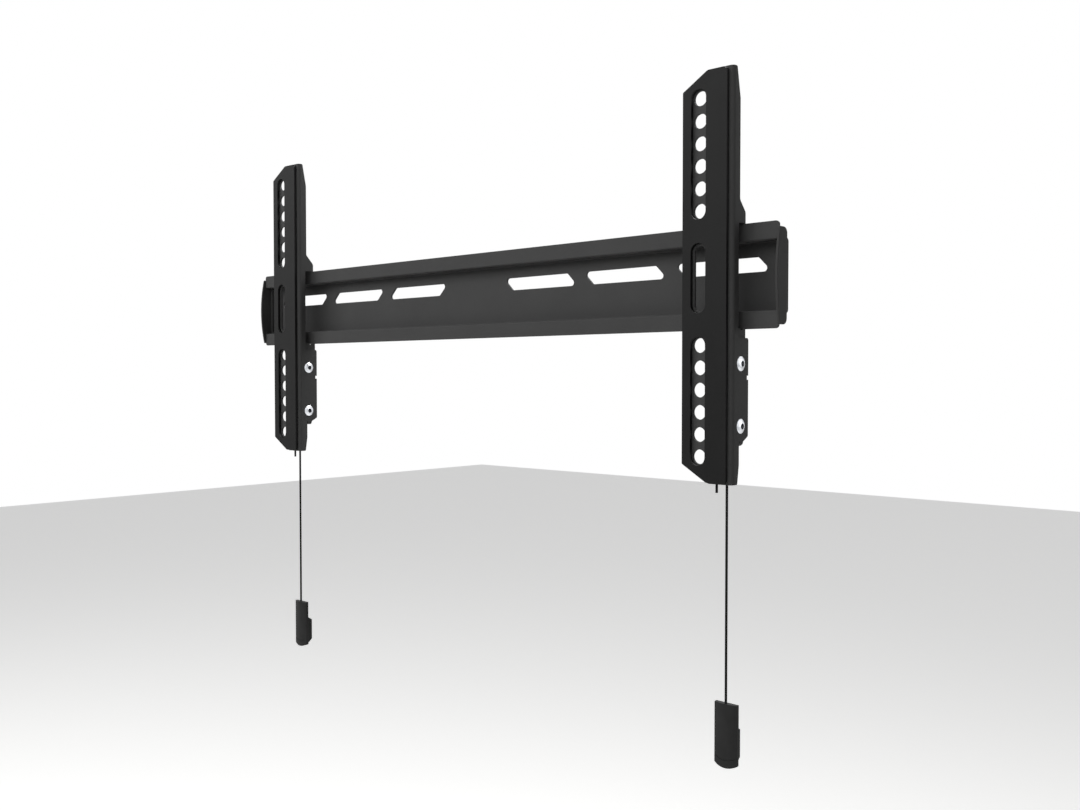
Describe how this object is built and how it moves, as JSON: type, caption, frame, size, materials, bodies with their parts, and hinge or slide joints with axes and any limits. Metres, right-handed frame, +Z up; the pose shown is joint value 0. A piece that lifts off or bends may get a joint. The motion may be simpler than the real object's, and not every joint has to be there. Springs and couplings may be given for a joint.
{
  "type": "fixed tv wall bracket",
  "caption": "Slotted steel wall plate with two hook-on arms for a flat screen, each held by a spring latch with a pull cord and handle.",
  "frame": {"origin": "middle of the wall plate's face that lies against the wall", "axes": "+X to the right along the wall, seen from the room, +Y into the wall, +Z up"},
  "size_m": [0.4888, 0.0245, 0.3884],
  "materials": {
    "coated_steel": "fine satin powder coat",
    "cap_plastic": "matte",
    "pad_plastic": "matte",
    "bright_steel": "zinc plated",
    "cord": "braided",
    "handle_plastic": "satin",
    "magnet": "nickel plated"
  },
  "bodies": {
    "plate": {"wall_plate": "coated_steel", "left_end_cap": "cap_plastic", "right_end_cap": "cap_plastic"},
    "left_hook_arm": {"left_arm": "coated_steel", "left_arm_pad": "pad_plastic", "left_upper_rivet": "bright_steel", "left_lower_rivet": "bright_steel", "left_upper_mandrel": "bright_steel", "left_lower_mandrel": "bright_steel", "left_latch_spring": "bright_steel"},
    "left_pull_latch": {"left_latch": "coated_steel", "left_pull_cord": "cord", "left_pull_handle": "handle_plastic", "left_magnet": "magnet"},
    "right_hook_arm": {"right_arm": "coated_steel", "right_arm_pad": "pad_plastic", "right_upper_rivet": "bright_steel", "right_lower_rivet": "bright_steel", "right_upper_mandrel": "bright_steel", "right_lower_mandrel": "bright_steel", "right_latch_spring": "bright_steel"},
    "right_pull_latch": {"right_latch": "coated_steel", "right_pull_cord": "cord", "right_pull_handle": "handle_plastic", "right_magnet": "magnet"}
  },
  "joints": [
    {"name": "left_arm_slide", "type": "slide", "parent": "plate", "child": "left_hook_arm", "axis": [1, 0, 0], "range_m": [-0.044, 0.1625]},
    {"name": "right_arm_slide", "type": "slide", "parent": "plate", "child": "right_hook_arm", "axis": [1, 0, 0], "range_m": [-0.1625, 0.021]},
    {"name": "left_latch_pull", "type": "slide", "parent": "left_hook_arm", "child": "left_pull_latch", "axis": [0, 0, -1], "range_m": [0, 0.0045], "stiffness_N_per_m": 600, "springref_m": -0.008, "deforming": ["left_latch_spring"]},
    {"name": "right_latch_pull", "type": "slide", "parent": "right_hook_arm", "child": "right_pull_latch", "axis": [0, 0, -1], "range_m": [0, 0.0045], "stiffness_N_per_m": 600, "springref_m": -0.008, "deforming": ["right_latch_spring"]}
  ]
}
